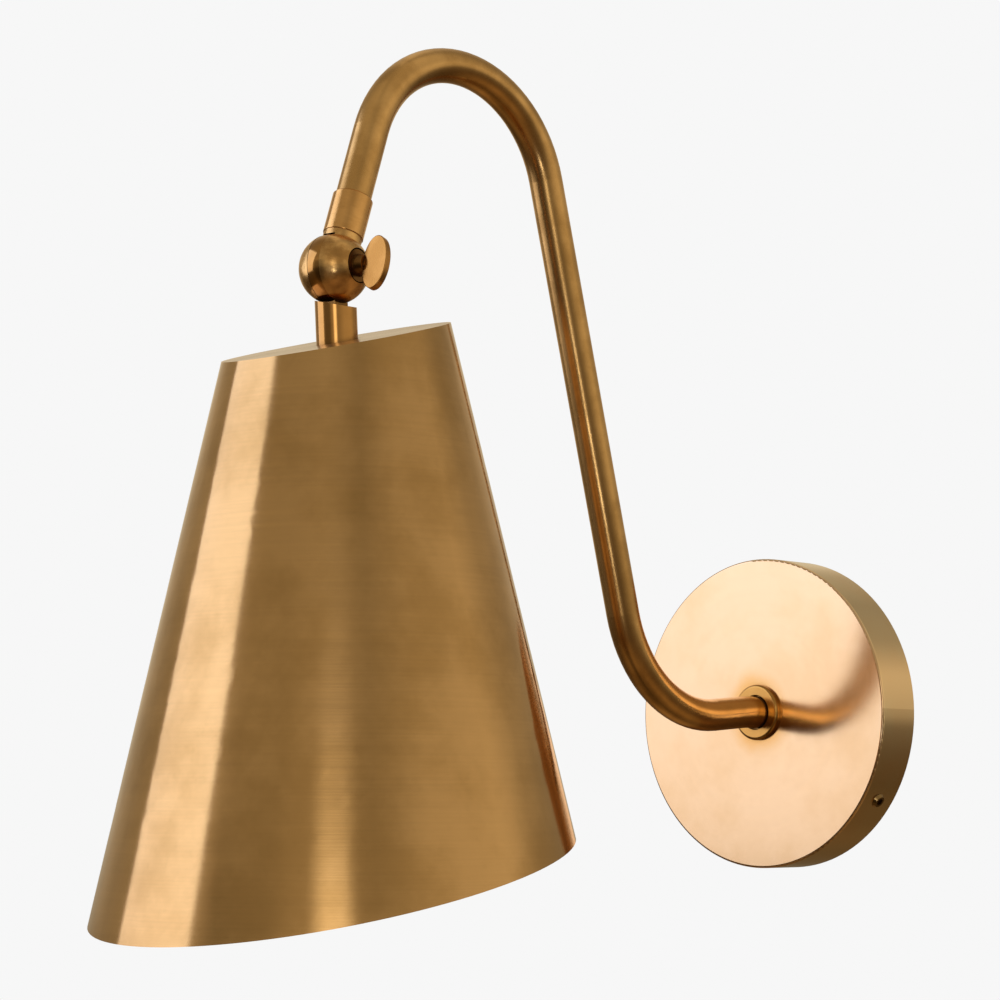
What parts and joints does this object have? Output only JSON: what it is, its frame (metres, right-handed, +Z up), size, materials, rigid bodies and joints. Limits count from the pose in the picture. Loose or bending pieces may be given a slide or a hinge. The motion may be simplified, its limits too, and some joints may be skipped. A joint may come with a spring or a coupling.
{
  "type": "wall sconce",
  "caption": "Antique brass wall sconce: a swan-neck tube arm on a round backplate carries a slanted cone shade on a clamped ball knuckle that tilts.",
  "frame": {"origin": "middle of the backplate in the plane of the wall, midway between the two box screws", "axes": "the wall is the XZ plane; +Y points into the wall, the lamp stands out on the -Y side, +Z is up, +X is to the right of someone who faces the wall"},
  "size_m": [0.1664, 0.3261, 0.3209],
  "materials": {
    "plate_brass": "turned and lightly aged, satin",
    "collar_brass": "polished, aged in the corners",
    "tube_brass": "antique, brushed round the tube",
    "satin_brass": "satin",
    "polished_brass": "polished, aged",
    "shade_brass": "antique, finely brushed round the cone, mottled patina",
    "disc_brass": "polished, dull with age",
    "cap_brass": "bright pressed brass",
    "screw_brass": "bright",
    "contact_brass": "bright",
    "zinc_steel": "zinc plated",
    "nickel": "bright",
    "thread_aluminium": "bright",
    "ground_green": "green, glossy",
    "tinned_copper": "tinned, dull",
    "bare_copper": "bare copper",
    "phenolic": "black moulding",
    "bulb_insulation": "black glass",
    "bulb_glass": "clear",
    "stalk_glass": "clear",
    "filament": "yellow phosphor",
    "lead_sleeve": "black insulation",
    "connector_plastic": "orange moulding"
  },
  "bodies": {
    "wall_arm": {"backplate": "plate_brass", "mounting_bracket": "zinc_steel", "side_screws": "screw_brass", "ground_screw": "ground_green", "ground_lead": "bare_copper", "ground_terminal": "tinned_copper", "wire_connectors": "connector_plastic", "arm_leads": "lead_sleeve", "arm_collar": "collar_brass", "arm_nipple": "zinc_steel", "arm_washer": "zinc_steel", "arm_lock_nut": "zinc_steel", "arm_tube": "tube_brass", "arm_ferrule": "satin_brass", "swivel_ball": "polished_brass"},
    "shade_head": {"swivel_stem": "polished_brass", "stem_nipple": "zinc_steel", "shade_cone": "shade_brass", "shade_top": "disc_brass", "wedge_washer": "zinc_steel", "shade_lock_nut": "zinc_steel", "holder_cap": "cap_brass", "holder_shell": "cap_brass", "holder_body": "phenolic", "holder_thread": "thread_aluminium", "holder_contact": "contact_brass", "holder_leads": "lead_sleeve", "bulb_base": "nickel", "bulb_insulator": "bulb_insulation", "bulb_contact": "tinned_copper", "bulb_glass": "bulb_glass", "bulb_stalk": "stalk_glass", "bulb_filaments": "filament"},
    "thumb_screw": {"thumb_screw": "satin_brass"}
  },
  "joints": [
    {"name": "shade_tilt", "type": "hinge", "parent": "wall_arm", "child": "shade_head", "pos_m": [0, -0.24709, 0.148], "axis": [-0.9781, -0.2079, 0], "range_deg": [-18, 90]},
    {"name": "screw_turn", "type": "hinge", "parent": "wall_arm", "child": "thumb_screw", "pos_m": [0, -0.24709, 0.148], "axis": [0.9781, 0.2079, 0], "range_deg": [0, 360]}
  ]
}
